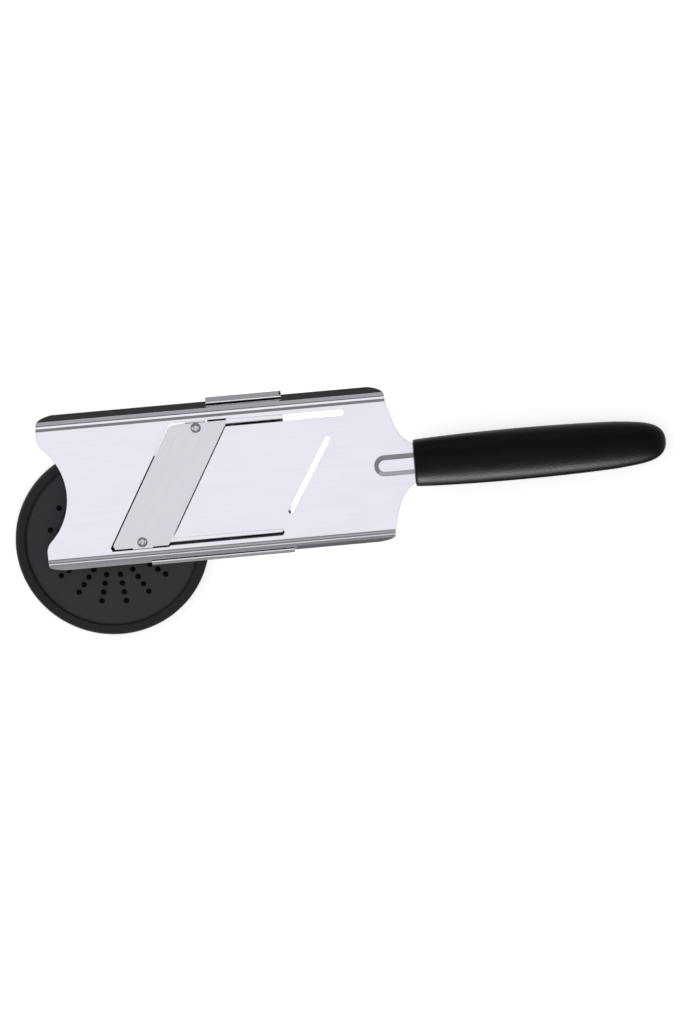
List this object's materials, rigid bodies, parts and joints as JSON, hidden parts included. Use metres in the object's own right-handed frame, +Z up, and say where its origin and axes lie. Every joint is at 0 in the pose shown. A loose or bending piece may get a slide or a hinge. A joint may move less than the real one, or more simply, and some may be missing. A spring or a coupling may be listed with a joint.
{
  "type": "truffle slicer",
  "caption": "Flat steel truffle slicer with slanted blade, adjustable tongue, sliding thickness clip and black handle, lying on its round pinned food holder.",
  "frame": {"origin": "on the floor, at the middle of the pair's footprint", "axes": "+X along the tool towards the tip of its handle, +Y across it, +Z up from the floor"},
  "size_m": [0.3578, 0.128, 0.0239],
  "materials": {
    "polished_steel": "bright polished",
    "blade_steel": "brushed lengthways",
    "slider_steel": "satin",
    "fastener_steel": "satin",
    "handle_plastic": "satin moulded",
    "guard_plastic": "fine matt moulded"
  },
  "bodies": {
    "slicer": {"body_plate": "polished_steel", "slicing_blade": "blade_steel", "blade_screw_upper": "fastener_steel", "blade_screw_lower": "fastener_steel", "blade_nut_upper": "fastener_steel", "blade_nut_lower": "fastener_steel", "handle": "handle_plastic"},
    "tongue": {"adjusting_tongue": "polished_steel"},
    "slider": {"thickness_slider": "slider_steel"},
    "guard": {"guard_disc": "guard_plastic", "guard_grip": "guard_plastic"}
  },
  "joints": [
    {"name": "slider_travel", "type": "slide", "parent": "slicer", "child": "slider", "axis": [0.9993, 0, -0.0363], "range_m": [0, 0.028]},
    {"name": "tongue_flex", "type": "hinge", "parent": "slicer", "child": "tongue", "pos_m": [-0.01458, 0.02004, 0.01509], "axis": [-0.5167, -0.8512, 0.0921], "range_deg": [0, 2.36]},
    {"name": "guard_draw", "type": "slide", "parent": "slicer", "child": "guard", "axis": [0, -1, 0], "range_m": [0, 0.09]}
  ],
  "couplings": [
    {"joint": "tongue_flex", "follows": "slider_travel", "rad_per_m": 1.4643}
  ]
}
